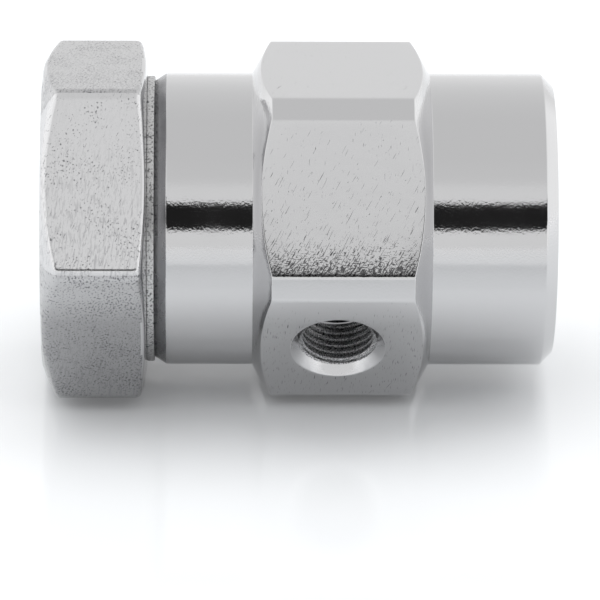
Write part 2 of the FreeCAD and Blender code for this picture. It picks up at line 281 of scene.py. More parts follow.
    # The flats are where the mill has cut: inside the corners' lands, and on top between the end chamfers.
    inside = add(tree, "FunctionNodeCompare", {0: plane, 1: given["Corner Radius"]}, operation="LESS_THAN")
    on_top = add(tree, "FunctionNodeCompare", {0: hump, 1: 0.99}, operation="GREATER_THAN")
    flats = add(tree, "FunctionNodeBooleanMath", {0: inside, 1: on_top}, operation="AND")
    marked = add(tree, "GeometryNodeStoreNamedAttribute",
                 {"Geometry": worn, "Name": "milled", "Value": flats}, data_type="BOOLEAN", domain="POINT")
    milled = add(tree, "GeometryNodeInputNamedAttribute", {"Name": "milled"}, data_type="BOOLEAN")
    finish_tree(tree, marked, [
        {"Material": given["Turned Finish"]},
        {"Material": given["Milled Finish"], "Selection": milled},
    ])
    return tree


def thread_ridge_tree():
    """One thread ridge that winds round the X axis and fades away over its first and last part of a turn."""
    tree, given = new_tree("Thread Ridge", [
        ("Steps", "NodeSocketInt", 600),
        ("Wall Radius", "NodeSocketFloat", 0.02),
        ("Pitch", "NodeSocketFloat", 0.002),
        ("Turns", "NodeSocketFloat", 8.0),
        ("Start", "NodeSocketFloat", 0.0),
        ("Fade Turns", "NodeSocketFloat", 0.3),
        ("Finish", "NodeSocketMaterial", None),
    ])
    given = {socket.name: socket for socket in given}
    grid, section, step = wrapped_grid(tree, given)

    share = add(tree, "ShaderNodeMath", {0: step, 1: given["Steps"]}, operation="DIVIDE")
    turn = add(tree, "ShaderNodeMath", {0: share, 1: given["Turns"]}, operation="MULTIPLY")
    left = add(tree, "ShaderNodeMath", {0: given["Turns"], 1: turn}, operation="SUBTRACT")
    nearest = add(tree, "ShaderNodeMath", {0: turn, 1: left}, operation="MINIMUM")
    full = add(tree, "ShaderNodeMapRange", {"Value": nearest, "From Max": given["Fade Turns"]})
    angle = add(tree, "ShaderNodeMath", {0: turn, 1: math.tau}, operation="MULTIPLY")
    advance = add(tree, "ShaderNodeMath", {0: turn, 1: given["Pitch"], 2: given["Start"]},
                  operation="MULTIPLY_ADD")
    along = add(tree, "ShaderNodeMath", {0: section["X"], 1: full, 2: advance}, operation="MULTIPLY_ADD")
    radius = add(tree, "ShaderNodeMath", {0: section["Y"], 1: full, 2: given["Wall Radius"]},
                 operation="MULTIPLY_ADD")
    y = add(tree, "ShaderNodeMath", {0: angle}, operation="COSINE")
    y = add(tree, "ShaderNodeMath", {0: radius, 1: y}, operation="MULTIPLY")
    z = add(tree, "ShaderNodeMath", {0: angle}, operation="SINE")
    z = add(tree, "ShaderNodeMath", {0: radius, 1: z}, operation="MULTIPLY")
    place = add(tree, "ShaderNodeCombineXYZ", {"X": along, "Y": y, "Z": z})
    ridge = add(tree, "GeometryNodeSetPosition", {"Geometry": grid, "Position": place})
    finish_tree(tree, ridge, [{"Material": given["Finish"]}])
    return tree


# ---- outlines and pieces -------------------------------------------------------------------------------
def rounded(corners, longest=None, bends=4):
    """A closed outline with round corners. A corner is (along, radius) or (along, radius, rounding), in mm.
    Longest is the longest side that is left undivided, and bends is how many parts a round corner has."""
    points = []
    for index, corner in enumerate(corners):
        here = Vector(corner[:2])
        before = Vector(corners[index - 1][:2])
        after = Vector(corners[(index + 1) % len(corners)][:2])
        rounding = corner[2] if len(corner) == 3 else 0.0
        if not rounding:
            points.append(here)
            continue
        back = (before - here).normalized()
        ahead = (after - here).normalized()
        half = back.angle(ahead) / 2
        reach = rounding / math.tan(half)
        middle = here + (back + ahead).normalized() * rounding / math.sin(half)
        start = here + back * reach - middle
        end = here + ahead * reach - middle
        sweep = start.angle_signed(end)
        for bend in range(bends + 1):
            share = bend / bends * -sweep
            turned = Vector((
                start.x * math.cos(share) - start.y * math.sin(share),
                start.x * math.sin(share) + start.y * math.cos(share),
            ))
            points.append(middle + turned)
    if longest:
        spread = []
        for index, point in enumerate(points):
            following = points[(index + 1) % len(points)]
            pieces = max(1, math.ceil((following - point).length / longest))
            spread += [point.lerp(following, share / pieces) for share in range(pieces)]
        points = spread
    return points


def outline_mesh(name, points, shift=0.0):
    """The points as a mesh of loose vertices in metres, shifted along the axis by so many millimetres."""
    mesh = bpy.data.meshes.new(name)
    mesh.from_pydata([((along + shift) * MM, radius * MM, 0.0) for along, radius in points], [], [])
    return mesh


def made_by(tree, name, base, values):
    """The plain mesh object that a tree makes from a base mesh with the given inputs."""
    source = bpy.data.objects.new(name, base)
    bpy.context.scene.collection.objects.link(source)
    modifier = source.modifiers.new("Shape", "NODES")
    modifier.node_group = tree
    sockets = {item.name: item.identifier for item in tree.interface.items_tree if item.in_out == "INPUT"}
    for label, value in values.items():
        modifier[sockets[label]] = value
    shape = bpy.data.meshes.new_from_object(source.evaluated_get(bpy.context.evaluated_depsgraph_get()))
    source.modifiers.clear()
    source.data = shape
    face_outwards(shape)
    shape.set_sharp_from_angle(angle=SHARP)
    return source


def face_outwards(mesh):
    """Turns every face of a closed mesh to the outside."""
    cleaned = bmesh.new()
    cleaned.from_mesh(mesh)
    bmesh.ops.recalc_face_normals(cleaned, faces=cleaned.faces)
    cleaned.to_mesh(mesh)
    cleaned.free()


def cut(piece, cutter):
    """Cuts one closed piece out of another, whose finish the cut takes, and removes the cutter."""
    modifier = piece.modifiers.new("Cut", "BOOLEAN")
    modifier.object = cutter
    modifier.operation = "DIFFERENCE"
    modifier.solver = "EXACT"
    modifier.material_mode = "TRANSFER"
    shape = bpy.data.meshes.new_from_object(piece.evaluated_get(bpy.context.evaluated_depsgraph_get()))
    piece.modifiers.clear()
    piece.data = shape
    shape.set_sharp_from_angle(angle=SHARP)
    bpy.data.objects.remove(cutter)


def refinish(piece, material, low, high, smallest=0.0, largest=math.inf):
    """Gives a piece another finish between two places along X and between two radii, all in mm."""
    piece.data.materials.append(material)
    place = len(piece.data.materials) - 1
    for face in piece.data.polygons:
        along, y, z = face.center / MM
        if low < along < high and smallest < math.hypot(y, z) < largest:
            face.material_index = place


def finish_piece(piece, body, slot, *nodes):
    """The piece rides on its body and stands for its CAD nodes, which it hides. Slot is not used."""
    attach(piece, body)
    if nodes:
        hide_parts(*nodes)
    return piece


# ---- materials -----------------------------------------------------------------------------------------
def linear(hex_colour):
    """A hex sRGB colour as linear red, green, blue and alpha."""
    parts = [int(hex_colour[place:place + 2], 16) / 255 for place in (1, 3, 5)]
    return (*[part / 12.92 if part <= 0.04045 else ((part + 0.055) / 1.055) ** 2.4 for part in parts], 1.0)


def new_material(name):
    """A material with an empty tree, its Principled shader and the piece's own coordinates."""
    material = bpy.data.materials.new(name)
    material.use_nodes = True
    tree = material.node_tree
    tree.nodes.clear()
    shader = add(tree, "ShaderNodeBsdfPrincipled")
    add(tree, "ShaderNodeOutputMaterial", {"Surface": shader})
    place = add(tree, "ShaderNodeTexCoord").outputs["Object"]
    return material, tree, shader, place


def flat_coordinates(tree, place, clocking=0.0):
    """Coordinates that lie flat on each of a hexagon's sides, along the axis and across the side. Returns
    them, the one across, and 1 on every second side."""
    apart = add(tree, "ShaderNodeSeparateXYZ", {0: place}).outputs
    angle = add(tree, "ShaderNodeMath", {0: apart["Z"], 1: apart["Y"]}, operation="ARCTAN2")
    clocked = add(tree, "ShaderNodeMath", {0: angle, 1: clocking}, operation="ADD")
    sector = add(tree, "ShaderNodeMath", {0: clocked, 1: math.pi / 3}, operation="DIVIDE")
    whole = add(tree, "ShaderNodeMath", {0: sector}, operation="FLOOR")
    part = add(tree, "ShaderNodeMath", {0: sector, 1: whole}, operation="SUBTRACT")
    fold = add(tree, "ShaderNodeMath", {0: part, 1: math.pi / 3, 2: -math.pi / 6}, operation="MULTIPLY_ADD")
    radial = add(tree, "ShaderNodeCombineXYZ", {"Y": apart["Y"], "Z": apart["Z"]})
    radius = add(tree, "ShaderNodeVectorMath", {0: radial}, operation="LENGTH").outputs["Value"]
    sine = add(tree, "ShaderNodeMath", {0: fold}, operation="SINE")
    across = add(tree, "ShaderNodeMath", {0: radius, 1: sine}, operation="MULTIPLY")
    side = add(tree, "ShaderNodeMath", {0: whole, 1: 60 * MM}, operation="MULTIPLY")
    odd = add(tree, "ShaderNodeMath", {0: whole, 1: 2.0}, operation="FLOORED_MODULO")
    return add(tree, "ShaderNodeCombineXYZ", {"X": apart["X"], "Y": across, "Z": side}), across, odd


def strokes(tree, place, width, length, turn, low, high, seed=0.0, lift=0.0):
    """Thin strokes of one direction, so many mm wide and long, as a mask from 0 to 1. Noise from low to high
    makes up a stroke, and lift adds to the noise: strokes crowd where it is above 0 and thin out below."""
    laid = add(tree, "ShaderNodeMapping", {
        "Vector": place, "Rotation": (0.0, 0.0, turn), "Location": (seed, seed, seed),
        "Scale": (width * MM, length * MM, 1 * MM)}, vector_type="TEXTURE")
    noise = add(tree, "ShaderNodeTexNoise", {"Vector": laid, "Scale": 1.0, "Detail": 1.0})
    lifted = add(tree, "ShaderNodeMath", {0: noise, 1: lift}, operation="ADD")
    return add(tree, "ShaderNodeMapRange", {"Value": lifted, "From Min": low, "From Max": high})


def nickel_on_turned_steel():
    """Bright nickel plate on turned steel: a near mirror that still carries the fine rings of the lathe tool,
    some haze from polishing, and the orange peel that makes the edges of reflections crumble."""
    material, tree, shader, place = new_material("nickel_plated_turned_steel")
    shader.inputs["Base Color"].default_value = linear("#C4C4C5")
    shader.inputs["Metallic"].default_value = 1.0
    apart = add(tree, "ShaderNodeSeparateXYZ", {0: place}).outputs
    haze = add(tree, "ShaderNodeTexNoise", {"Vector": place, "Scale": 1 / (9 * MM), "Detail": 4.0})
    roughness = add(tree, "ShaderNodeMapRange",
                    {"Value": haze, "From Min": 0.3, "From Max": 0.7, "To Min": 0.05, "To Max": 0.12})
    tree.links.new(roughness.outputs[0], shader.inputs["Roughness"])
    # Lathe rings 0.15 mm apart are too fine to show, so they are drawn every 0.6 mm.
    rings = add(tree, "ShaderNodeMath", {0: apart["X"], 1: 1 / (0.6 * MM)}, operation="MULTIPLY")
    rings = add(tree, "ShaderNodeTexNoise", {"W": rings, "Scale": 1.0}, noise_dimensions="1D")
    waves = add(tree, "ShaderNodeTexNoise", {"Vector": place, "Scale": 1 / (3 * MM), "Detail": 1.0})
    # The peel's grain is about 0.1 mm, and is drawn at 0.4 mm for the same reason.
    peel = add(tree, "ShaderNodeTexNoise", {"Vector": place, "Scale": 1 / (0.4 * MM), "Detail": 2.0})
    bump = add(tree, "ShaderNodeBump", {"Height": rings, "Distance": 0.0012 * MM})
    bump = add(tree, "ShaderNodeBump", {"Height": waves, "Distance": 0.012 * MM, "Normal": bump})
    bump = add(tree, "ShaderNodeBump", {"Height": peel, "Distance": 0.014 * MM, "Normal": bump})
    tree.links.new(bump.outputs[0], shader.inputs["Normal"])
    return material


def nickel_on_milled_steel():
    """Nickel plate on milled flats: a soft shine with slanting handling scratches, short upright marks, and
    on every second side rows of dark flecks where the cutter chattered on its way out at the edge."""
    material, tree, shader, place = new_material("nickel_plated_milled_steel")
    shader.inputs["Metallic"].default_value = 1.0
    shader.inputs["Roughness"].default_value = 0.12
    flat, across, odd = flat_coordinates(tree, place)
    # The slanting scratches belong to the chattered sides and thicken towards the edge with the chatter. Real
    # scratches are a few hundredths of a millimetre wide, and are drawn coarser so that they show.
    down = add(tree, "ShaderNodeMapRange", {
        "Value": across, "From Min": -15 * MM, "From Max": 13 * MM, "To Min": -0.06, "To Max": 0.03})
    clean = add(tree, "ShaderNodeMath", {0: odd, 1: -0.09}, operation="MULTIPLY")
    down = add(tree, "ShaderNodeMath", {0: down, 1: clean}, operation="ADD")
    edge = add(tree, "ShaderNodeMapRange", {
        "Value": across, "From Min": 5 * MM, "From Max": 12.5 * MM, "To Min": -0.24, "To Max": 0.06})
    chatter = add(tree, "ShaderNodeMath", {0: odd, 1: -0.5}, operation="MULTIPLY")
    edge = add(tree, "ShaderNodeMath", {0: edge, 1: chatter}, operation="ADD")
    # Short upright marks lie on the lower sides, on which the body slid along the bench.
    low = add(tree, "ShaderNodeSeparateXYZ", {0: place}).outputs["Z"]
    below = add(tree, "ShaderNodeMapRange", {
        "Value": low, "From Min": -8 * MM, "From Max": -3 * MM, "To Min": 0.055, "To Max": -0.03})
    slanted = strokes(tree, flat, 0.15, 3.4, math.radians(28), 0.68, 0.75, lift=down)
    short = strokes(tree, flat, 0.2, 0.7, math.radians(30), 0.73, 0.80, seed=0.5, lift=down)
    upright = strokes(tree, flat, 0.15, 1.8, math.radians(4), 0.70, 0.80, seed=0.3, lift=below)
    flecks = strokes(tree, flat, 0.7, 0.2, math.radians(3), 0.55, 0.63, seed=0.7, lift=edge)
    gouges = strokes(tree, flat, 0.22, 1.2, math.radians(30), 0.55, 0.62, seed=0.9, lift=edge)
    burr = add(tree, "ShaderNodeMapRange", {"Value": across, "From Min": 12.8 * MM, "From Max": 13.2 * MM})
    even = add(tree, "ShaderNodeMath", {0: 1.0, 1: odd}, operation="SUBTRACT")
    depth = add(tree, "ShaderNodeMath", {0: burr, 1: even}, operation="MULTIPLY")
    for marks in (slanted, short, upright, flecks, gouges):
        depth = add(tree, "ShaderNodeMath", {0: depth, 1: marks}, operation="MAXIMUM")
    dirt = add(tree, "ShaderNodeMath", {0: depth, 1: 0.85}, operation="MULTIPLY")
    # The lower sides are painted greyer, as painted shade from below.
    painted_lower_shade = add(tree, "ShaderNodeMapRange", {
        "Value": low, "From Min": -8 * MM, "From Max": -3 * MM, "To Min": 1.0, "To Max": 0.0})
    ground = add(tree, "ShaderNodeMix", {"Factor": painted_lower_shade, "A": linear("#C7C7C8"), "B": linear("#B4B4B5")},
                 data_type="RGBA")
    colour = add(tree, "ShaderNodeMix", {
        "Factor": dirt, "A": ground.outputs["Result"], "B": linear("#2C2C2E")}, data_type="RGBA")
    tree.links.new(colour.outputs["Result"], shader.inputs["Base Color"])
    swell = add(tree, "ShaderNodeTexNoise", {"Vector": flat, "Scale": 1 / (4 * MM), "Detail": 2.0})
    bump = add(tree, "ShaderNodeBump", {"Height": swell, "Distance": 0.012 * MM})
    bump = add(tree, "ShaderNodeBump", {"Height": depth, "Distance": 0.015 * MM, "Normal": bump}, invert=True)
    tree.links.new(bump.outputs[0], shader.inputs["Normal"])
    return material


def nickel_on_tumbled_steel():
    """Nickel plate on a tumbled nut: satin, with the wavy streaks and small pits that the stones leave. Every
    second side took more of the stones and is greyer."""
    material, tree, shader, place = new_material("nickel_plated_tumbled_steel")
    shader.inputs["Metallic"].default_value = 1.0
    shader.inputs["Roughness"].default_value = 0.17
    flat, across, odd = flat_coordinates(tree, place, NUT_CLOCKING)
    ripples = add(tree, "ShaderNodeMapping", {
        "Vector": flat, "Rotation": (0.0, 0.0, 0.12),
        "Scale": (0.33 * MM, 1.8 * MM, 1 * MM)}, vector_type="TEXTURE")
    ripples = add(tree, "ShaderNodeTexNoise", {
        "Vector": ripples, "Scale": 1.0, "Detail": 2.0, "Distortion": 0.8})
    patches = add(tree, "ShaderNodeTexNoise", {"Vector": flat, "Scale": 1 / (6 * MM), "Detail": 3.0})
    patchy = add(tree, "ShaderNodeMapRange",
                 {"Value": patches, "From Min": 0.35, "From Max": 0.75, "To Min": -0.2, "To Max": -0.04})
    pitted = add(tree, "ShaderNodeMath", {0: odd, 1: 0.09, 2: patchy}, operation="MULTIPLY_ADD")
    pits = strokes(tree, flat, 0.34, 0.42, 0.3, 0.50, 0.66, lift=pitted)
    nicks = strokes(tree, flat, 0.2, 1.8, math.radians(28), 0.70, 0.76, seed=0.4)
    wear = add(tree, "ShaderNodeMapRange",
               {"Value": across, "From Min": -9 * MM, "From Max": 5 * MM, "To Min": 0.15, "To Max": 1.0})
    streaks = add(tree, "ShaderNodeMapRange",
                  {"Value": ripples, "From Min": 0.5, "From Max": 0.66, "To Min": 0.0, "To Max": 0.35})
    streaks = add(tree, "ShaderNodeMath", {0: streaks, 1: wear}, operation="MULTIPLY")
    marks = add(tree, "ShaderNodeMath", {0: pits, 1: nicks}, operation="MAXIMUM")
    marks = add(tree, "ShaderNodeMath", {0: marks, 1: streaks}, operation="MAXIMUM")
    ground = add(tree, "ShaderNodeMix", {"Factor": odd, "A": linear("#CDCDCE"), "B": linear("#BABABB")},
                 data_type="RGBA")
    # The lower sides are painted greyest, as painted shade from below.
    low = add(tree, "ShaderNodeSeparateXYZ", {0: place}).outputs["Z"]
    painted_lower_shade = add(tree, "ShaderNodeMapRange", {
        "Value": low, "From Min": -8 * MM, "From Max": -2 * MM, "To Min": 1.0, "To Max": 0.0})
    ground = add(tree, "ShaderNodeMix", {
        "Factor": painted_lower_shade, "A": ground.outputs["Result"], "B": linear("#A4A4A5")}, data_type="RGBA")
    colour = add(tree, "ShaderNodeMix", {
        "Factor": marks, "A": ground.outputs["Result"], "B": linear("#727275")}, data_type="RGBA")
    tree.links.new(colour.outputs["Result"], shader.inputs["Base Color"])
    rippled = add(tree, "ShaderNodeMath", {0: ripples, 1: wear}, operation="MULTIPLY")
    bump = add(tree, "ShaderNodeBump", {"Height": rippled, "Distance": 0.018 * MM})
    bump = add(tree, "ShaderNodeBump", {"Height": marks, "Distance": 0.02 * MM, "Normal": bump}, invert=True)
    tree.links.new(bump.outputs[0], shader.inputs["Normal"])
    return material


def nickel_on_cut_thread():
    """Nickel plate on tapped threads: torn by the tap, so gritty, with bright grains and dark pits."""
    material, tree, shader, place = new_material("nickel_plated_cut_thread")
    shader.inputs["Metallic"].default_value = 1.0
    # Torn grains of 0.05 to 0.1 mm are too fine to show, so they are drawn at 0.22 mm.
    grit = add(tree, "ShaderNodeTexNoise", {"Vector": place, "Scale": 1 / (0.22 * MM), "Detail": 2.0})
    sharp = add(tree, "ShaderNodeMapRange", {"Value": grit, "From Min": 0.36, "From Max": 0.6})
    colour = add(tree, "ShaderNodeMix", {"Factor": sharp, "A": linear("#58585A"), "B": linear("#D6D6D7")},
                 data_type="RGBA")
    tree.links.new(colour.outputs["Result"], shader.inputs["Base Color"])
    roughness = add(tree, "ShaderNodeMapRange", {"Value": grit, "To Min": 0.55, "To Max": 0.35})
    tree.links.new(roughness.outputs[0], shader.inputs["Roughness"])
    bump = add(tree, "ShaderNodeBump", {"Height": grit, "Distance": 0.06 * MM})
    tree.links.new(bump.outputs[0], shader.inputs["Normal"])
    return material


def nickel_with_painted_recess_shade():
    """Nickel plate in bores and behind the nut: smooth and dull, its grey painted dark as painted shade in
    these recesses.
    """
    material, tree, shader, place = new_material("nickel_plated_recess_painted_shade")
    shader.inputs["Metallic"].default_value = 1.0
    stains = add(tree, "ShaderNodeTexNoise", {"Vector": place, "Scale": 1 / (4 * MM), "Detail": 4.0})
    # The two dark greys are painted shade of the recesses; the stains only vary the tone between them.
    colour = add(tree, "ShaderNodeMix", {"Factor": stains, "A": linear("#7A7A7C"), "B": linear("#A4A4A6")},
                 data_type="RGBA")
    tree.links.new(colour.outputs["Result"], shader.inputs["Base Color"])
    roughness = add(tree, "ShaderNodeMapRange", {"Value": stains, "To Min": 0.2, "To Max": 0.34})
    tree.links.new(roughness.outputs[0], shader.inputs["Roughness"])
    lines = add(tree, "ShaderNodeMapping", {"Vector": place, "Scale": (1 / (0.5 * MM), 0.0, 0.0)})
    lines = add(tree, "ShaderNodeTexNoise", {"Vector": lines, "Scale": 1.0, "Detail": 1.0})
    bump = add(tree, "ShaderNodeBump", {"Height": lines, "Distance": 0.01 * MM})
    tree.links.new(bump.outputs[0], shader.inputs["Normal"])
    return material


def pressed_soft_metal():
    """Pressed soft aluminium joint ring: dull and finely crumbled, with dirt in its pores."""
    material, tree, shader, place = new_material("pressed_aluminium_joint_ring")
    shader.inputs["Metallic"].default_value = 1.0
    spots = add(tree, "ShaderNodeTexNoise", {"Vector": place, "Scale": 1 / (0.4 * MM), "Detail": 4.0})
    pores = add(tree, "ShaderNodeMapRange", {"Value": spots, "From Min": 0.34, "From Max": 0.5})
    colour = add(tree, "ShaderNodeMix", {"Factor": pores, "A": linear("#5C5C5E"), "B": linear("#C4C4C4")},
                 data_type="RGBA")
    tree.links.new(colour.outputs["Result"], shader.inputs["Base Color"])
    shader.inputs["Roughness"].default_value = 0.4
    bump = add(tree, "ShaderNodeBump", {"Height": spots, "Distance": 0.05 * MM})
    tree.links.new(bump.outputs[0], shader.inputs["Normal"])
    return material


def borosilicate_glass():
    """Polished borosilicate glass: clear, colourless and smooth, with an edge that is only finely ground."""
    material, tree, shader, place = new_material("polished_borosilicate_glass")
    shader.inputs["Base Color"].default_value = linear("#F6FBF9")
    shader.inputs["Transmission Weight"].default_value = 1.0
    shader.inputs["IOR"].default_value = 1.47
    wipe = add(tree, "ShaderNodeTexNoise", {"Vector": place, "Scale": 1 / (12 * MM), "Detail": 3.0})
    roughness = add(tree, "ShaderNodeMapRange", {"Value": wipe, "To Min": 0.0, "To Max": 0.03})
    tree.links.new(roughness.outputs[0], shader.inputs["Roughness"])
    return material


def compressed_fibre():
    """Compressed fibre sheet: near black and matt, with short pale fibres at the cut edge."""
    material, tree, shader, place = new_material("compressed_fibre_gasket")
    fibres = add(tree, "ShaderNodeTexNoise", {"Vector": place, "Scale": 1 / (0.4 * MM), "Detail": 5.0})
    colour = add(tree, "ShaderNodeMix", {"Factor": fibres, "A": linear("#161617"), "B": linear("#4A4A4B")},
                 data_type="RGBA")
    tree.links.new(colour.outputs["Result"], shader.inputs["Base Color"])
    shader.inputs["Roughness"].default_value = 0.85
    bump = add(tree, "ShaderNodeBump", {"Height": fibres, "Strength": 0.4, "Distance": 0.1 * MM})
    tree.links.new(bump.outputs[0], shader.inputs["Normal"])
    return material


def rolled_strip():
    """Bright rolled steel strip: an even satin with fine lines one way."""
    material, tree, shader, place = new_material("rolled_steel_strip")
    shader.inputs["Base Color"].default_value = linear("#B4B5B6")
    shader.inputs["Metallic"].default_value = 1.0
    lines = add(tree, "ShaderNodeMapping", {"Vector": place, "Scale": (1.0, 1 / (0.3 * MM), 1 / (8 * MM))})
    lines = add(tree, "ShaderNodeTexNoise", {"Vector": lines, "Scale": 1.0, "Detail": 2.0})
    roughness = add(tree, "ShaderNodeMapRange", {"Value": lines, "To Min": 0.2, "To Max": 0.4})
    tree.links.new(roughness.outputs[0], shader.inputs["Roughness"])
    return material


turned_nickel = nickel_on_turned_steel()
milled_nickel = nickel_on_milled_steel()
tumbled_nickel = nickel_on_tumbled_steel()
threaded_nickel = nickel_on_cut_thread()
recess_shaded_nickel = nickel_with_painted_recess_shade()
joint_metal = pressed_soft_metal()
fibre = compressed_fibre()

turned_bar = turned_bar_tree()
thread_ridge = thread_ridge_tree()


# ---- body ----------------------------------------------------------------------------------------------
def build_body():
    """The turned and milled body, with the purge port drilled in its lower front flat."""
    tip = TIP_X - MOUTH_X
    seat = SEAT_X - MOUTH_X
    pilot = SHOULDER - PILOT
    relief = pilot - RELIEF
    outline = rounded([
        (0.0, SOCKET_MOUTH, 0.15),
        (0.0, COLLAR - MOUTH_CHAMFER, 0.3),
        (-MOUTH_CHAMFER, COLLAR, 0.5),
        (HEX_NEAR, COLLAR, 0.15),
        (HEX_NEAR - HEX_CHAMFER, BODY_CORNER, 0.3),
        (HEX_FAR + HEX_CHAMFER, BODY_CORNER, 0.3),
        (HEX_FAR, COLLAR, 0.15),
        (SHOULDER + SHOULDER_CHAMFER, COLLAR, 0.5),
        (SHOULDER, COLLAR - SHOULDER_DEPTH, 0.15),
        (SHOULDER, SPIGOT),
        (pilot, SPIGOT, 0.1),
        (pilot, SPIGOT_ROOT - 0.3, 0.3),
        (relief, SPIGOT_ROOT - 0.3, 0.3),
        (relief - 0.3, SPIGOT_ROOT, 0.1),
        (tip + 0.3, SPIGOT_ROOT, 0.1),
        (tip, SPIGOT_ROOT - 0.3, 0.1),
        (tip, SEAT_WALL, 0.1),
        (seat, SEAT_WALL),
        (seat, SIGHT_BORE, 0.2),
        (SIGHT_BORE - SOCKET_CREST - SOCKET_BORE, SIGHT_BORE, 0.3),
        (-SOCKET_BORE, SOCKET_CREST, 0.1),
        (-SOCKET_THREAD - 0.5, SOCKET_CREST, 0.1),
        (-SOCKET_THREAD + 0.5, SOCKET_ROOT, 0.1),
        (SOCKET_ROOT - SOCKET_MOUTH, SOCKET_ROOT, 0.1),
    ], longest=4.0)
    piece = made_by(turned_bar, "body_turned_and_milled", outline_mesh("body_outline", outline, MOUTH_X), {
        "Steps": 576,
        "Flat Distance": FLAT * MM,
        "Corner Radius": BODY_CORNER * MM,
        "Base Radius": COLLAR * MM,
        "Corner Softness": 0.35 * MM,
        "Middle": (HEX_MIDDLE + MOUTH_X) * MM,
        "Half Length": ((HEX_NEAR - HEX_FAR) / 2 - HEX_CHAMFER) * MM,
        "Low Chamfer": TAN_30,
        "High Chamfer": TAN_30,
        "Turned Finish": turned_nickel,
        "Milled Finish": milled_nickel,
    })
    cut(piece, port_cutter())
    # The spigot, the shoulder's chamfer and the bores are painted darker, as painted shade in recesses.
    recess_end = MOUTH_X + SHOULDER + SHOULDER_CHAMFER - 0.1
    refinish(piece, recess_shaded_nickel, TIP_X - 1, recess_end, SEAT_WALL - 0.5, COLLAR - 0.05)
    refinish(piece, recess_shaded_nickel, SEAT_X - 1, -SOCKET_THREAD, SIGHT_BORE - 0.2, SOCKET_CREST + 0.2)
    return finish_piece(piece, "fitting", "plated_body", "body")


def onto_port(piece):
    """Moves a piece made round the X axis, with X pointing in to the fitting, onto the port's axis."""
    inwards = Vector((0.0, math.cos(PORT_TILT), math.sin(PORT_TILT)))
    turn = Vector((1.0, 0.0, 0.0)).rotation_difference(inwards).to_matrix().to_4x4()
    turn.translation = Vector(((PORT_X + MOUTH_X) * MM, 0.0, 0.0))
    piece.data.transform(turn)
    return piece


def port_cutter():
    """What the drill, the tap's root and the countersink take out of the body."""
    deep = -SIGHT_BORE - PORT_PLAIN
    outline = rounded([
        (-2.0, 0.0),
        (-2.0, PORT_CREST),
        (deep, PORT_CREST),
        (deep - 0.6, PORT_ROOT),
        (-FLAT + PORT_MOUTH - PORT_ROOT, PORT_ROOT, 0.1),
        (-FLAT, PORT_MOUTH, 0.25),
        (-FLAT - 0.02, PORT_MOUTH + 1.0),
        (-FLAT - 1.0, PORT_MOUTH + 1.0),
        (-FLAT - 1.0, 0.0),
    ])
    cutter = made_by(turned_bar, "port_cutter", outline_mesh("port_outline", outline), {
        "Steps": 144, "Turned Finish": turned_nickel, "Milled Finish": turned_nickel})
    refinish(cutter, threaded_nickel, PORT_MOUTH - PORT_ROOT - FLAT, deep)
    # The port's plain bore is painted darker too, as painted shade in the recess.
    refinish(cutter, recess_shaded_nickel, deep, 0.0)
    return onto_port(cutter)


def mouth_cutter(wide_at, wide, narrow, inwards=1):
    """The cone of a 45 degree countersink, to trim a thread ridge with."""
    narrow_at = wide_at + inwards * (wide - narrow)
    corners = [(wide_at, 0.0), (wide_at, wide), (narrow_at, narrow), (narrow_at, 0.0)]
    return made_by(turned_bar, "countersink", outline_mesh("countersink_outline", corners), {
        "Steps": 96, "Turned Finish": threaded_nickel, "Milled Finish": threaded_nickel})


# ---- nut, joint ring and thread ridges -----------------------------------------------------------------
def build_nut():
    """The hexagon nut that holds the glass, tumbled so that its edges are soft."""
    back = NUT_LENGTH - NUT_BACK_SLOPE
    outline = rounded([
        (0.0, WINDOW + 1.5, 0.3),
        (0.0, NUT_FACE, 0.6),
        (NUT_CHAMFER * 0.46, NUT_FACE + 3.2, 3.0),
        (NUT_CHAMFER, NUT_CORNER, 1.2),
        (back - NUT_BACK_CORNER * 0.2, NUT_CORNER, NUT_BACK_CORNER),
        (NUT_LENGTH, NUT_FACE, 0.2),
        (NUT_LENGTH, NUT_ROOT + 0.4, 0.1),
        (NUT_LENGTH - 0.4, NUT_ROOT, 0.1),
        (NUT_RELIEF, NUT_ROOT, 0.1),
        (NUT_RELIEF - 0.35, NUT_ROOT + 0.35, 0.1),
        (NUT_RECESS, NUT_ROOT + 0.35, 0.2),
        (NUT_RECESS, SEAT_WALL, 0.1),
        (NUT_LIP, SEAT_WALL),
        (NUT_LIP, WINDOW, 0.1),
        (1.5, WINDOW, 0.3),
    ][::-1], longest=3.0)
    piece = made_by(turned_bar, "cap_nut_tumbled", outline_mesh("nut_outline", outline, WINDOW_X), {
        "Steps": 576,
        "Flat Distance": FLAT * MM,
        "Corner Radius": NUT_CORNER * MM,
        "Base Radius": NUT_FACE * MM,
        "Corner Softness": 0.3 * MM,
        "Clocking": NUT_CLOCKING,
        "Middle": ((NUT_CHAMFER + back - NUT_BACK_CORNER) / 2 + WINDOW_X) * MM,
        "Half Length": (back - NUT_BACK_CORNER - NUT_CHAMFER) / 2 * MM,
        "Low Chamfer": NUT_CHAMFER / (NUT_CORNER - NUT_FACE),
        "High Chamfer": 0.2,
        "Turned Finish": tumbled_nickel,
        "Milled Finish": tumbled_nickel,
    })
    # The two end faces are turned, so their lines run round.
    refinish(piece, turned_nickel, WINDOW_X - 0.1, WINDOW_X + 0.1)
    refinish(piece, turned_nickel, WINDOW_X + back, WINDOW_X + NUT_LENGTH + 0.1, NUT_ROOT)
    return finish_piece(piece, "nut", "plated_nut", "cap_nut")


